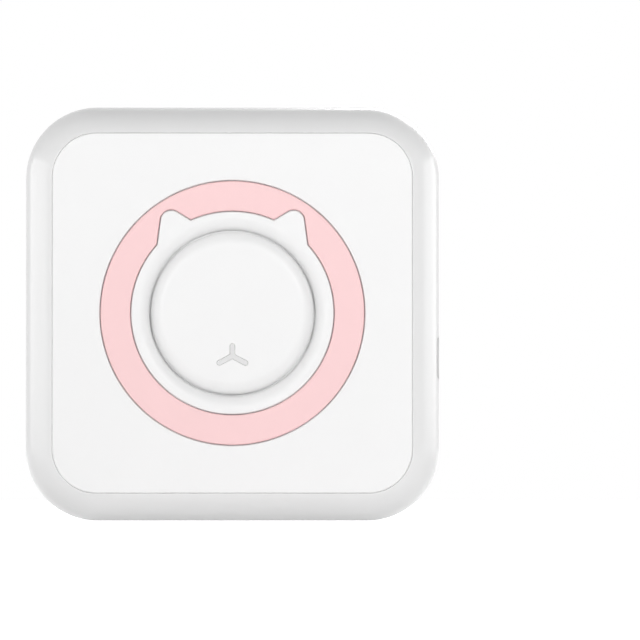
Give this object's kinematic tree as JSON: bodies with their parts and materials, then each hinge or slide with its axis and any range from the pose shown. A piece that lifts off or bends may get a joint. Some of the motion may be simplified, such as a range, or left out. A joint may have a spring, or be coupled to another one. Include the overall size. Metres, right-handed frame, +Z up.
{
  "type": "portable label printer",
  "caption": "Pocket thermal printer for small paper rolls: rounded square case, ringed round button on the front, hinged rear paper cover and a top paper slot.",
  "frame": {"origin": "middle of the footprint, on the surface that the printer stands on", "axes": "+Z up, the button faces -Y, the paper cover is at +Y, +X is to the right of somebody who faces the button"},
  "size_m": [0.084, 0.043, 0.084],
  "materials": {
    "casing": "moulded ABS, satin gloss white",
    "panel": "moulded ABS, satin white",
    "accent": "moulded ABS, satin pale pink",
    "mark": "translucent grey light window",
    "steel": "ground steel",
    "board": "green circuit board",
    "shield": "tinned steel",
    "black_plastic": "black moulded plastic",
    "led": "clear lens on a white base",
    "battery": "laminated foil pouch",
    "platen": "ground silicone rubber",
    "acetal": "natural acetal",
    "brass": "turned brass",
    "motor": "drawn steel can",
    "frame_sheet": "zinc-plated sheet",
    "heatsink": "bare aluminium plate",
    "ceramic": "alumina with a dark glazed line",
    "tear_steel": "punched stainless strip",
    "paper": "thermal paper",
    "core": "black plastic tube",
    "screws": "zinc-plated steel"
  },
  "bodies": {
    "housing": {"front_housing": "casing", "face_panel": "panel", "accent_ring": "accent", "bay_housing": "casing", "hinge_pin": "steel", "main_board": "board", "radio_module": "shield", "usb_socket": "shield", "switch_body": "black_plastic", "status_led": "led", "battery_cell": "battery", "motor_can": "motor", "gear_axles": "steel", "print_frame": "frame_sheet", "head_springs": "steel", "paper_sensor": "black_plastic", "tear_bar": "tear_steel", "paper_web": "paper", "housing_screws": "screws", "board_screws": "screws", "frame_screws": "screws"},
    "cover": {"paper_cover": "casing", "platen_bushes": "acetal"},
    "platen": {"platen_shaft": "steel", "platen_rubber": "platen", "platen_gear": "acetal"},
    "button": {"power_button": "panel", "indicator_lens": "mark", "switch_plunger": "black_plastic"},
    "head": {"head_heatsink": "heatsink", "print_head": "ceramic"},
    "roll": {"paper_roll": "paper", "roll_core": "core"},
    "idler": {"idler_gear": "acetal"},
    "reduction": {"reduction_gear": "acetal"},
    "rotor": {"motor_shaft": "steel", "motor_pinion": "brass", "rotor_magnet": "motor"}
  },
  "joints": [
    {"name": "button_press", "type": "slide", "parent": "housing", "child": "button", "axis": [0, 1, 0], "range_m": [0, 0.0003], "stiffness_N_per_m": 800, "springref_m": -0.0003},
    {"name": "cover_hinge", "type": "hinge", "parent": "housing", "child": "cover", "pos_m": [0, 0.0187, 0.012], "axis": [-1, 0, 0], "range_deg": [0, 90]},
    {"name": "platen_spin", "type": "hinge", "parent": "cover", "child": "platen", "pos_m": [0, 0.008, 0.072], "axis": [1, 0, 0], "continuous": true},
    {"name": "head_tilt", "type": "hinge", "parent": "housing", "child": "head", "pos_m": [0, 0.0011, 0.0625], "axis": [1, 0, 0], "range_deg": [0, 3], "stiffness_Nm_per_rad": 0.2, "springref_deg": -5.73, "deforming": ["head_springs"]},
    {"name": "roll_spin", "type": "hinge", "parent": "housing", "child": "roll", "pos_m": [0, 0.002, 0.0183], "axis": [1, 0, 0], "continuous": true},
    {"name": "idler_spin", "type": "hinge", "parent": "housing", "child": "idler", "pos_m": [-0.00004, -0.00161, 0.06924], "axis": [1, 0, 0], "continuous": true},
    {"name": "reduction_spin", "type": "hinge", "parent": "housing", "child": "reduction", "pos_m": [-0.00004, -0.00757, 0.06452], "axis": [1, 0, 0], "continuous": true},
    {"name": "motor_spin", "type": "hinge", "parent": "housing", "child": "rotor", "pos_m": [-0.00004, -0.0114, 0.072], "axis": [1, 0, 0], "continuous": true}
  ],
  "couplings": [
    {"joint": "idler_spin", "follows": "platen_spin", "ratio": -0.92308},
    {"joint": "reduction_spin", "follows": "platen_spin", "ratio": 2},
    {"joint": "motor_spin", "follows": "platen_spin", "ratio": -6.4},
    {"joint": "roll_spin", "follows": "platen_spin", "ratio": 0.32143}
  ]
}
